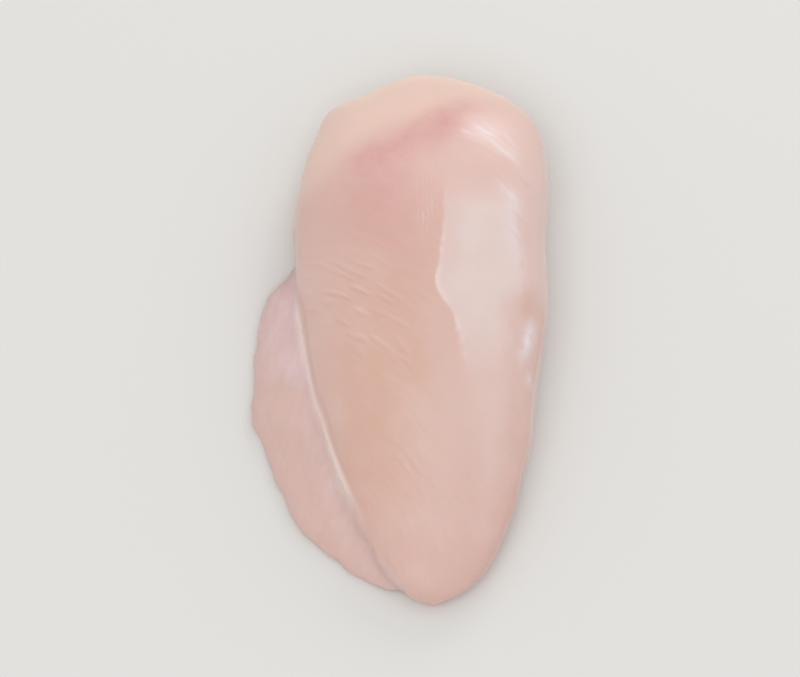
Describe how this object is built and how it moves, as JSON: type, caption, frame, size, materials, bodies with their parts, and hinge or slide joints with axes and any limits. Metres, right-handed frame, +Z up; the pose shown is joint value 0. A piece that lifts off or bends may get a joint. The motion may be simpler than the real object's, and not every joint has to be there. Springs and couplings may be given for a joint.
{
  "type": "raw chicken breast",
  "caption": "Raw boneless, skinless chicken breast half lying smooth side up, thick and round at one end, tapering to a tip, with a thin flap of rib meat along one side.",
  "frame": {"origin": "middle of the box around the meat, at the level of the surface that it lies on", "axes": "+Z up, +Y from the thin tip to the thick round end, +X to the side away from the flap of rib meat"},
  "size_m": [0.0924, 0.17, 0.0378],
  "materials": {
    "flesh": "moist, smooth, pale pink"
  },
  "bodies": {
    "root": {"breast": "flesh"}
  },
  "joints": []
}
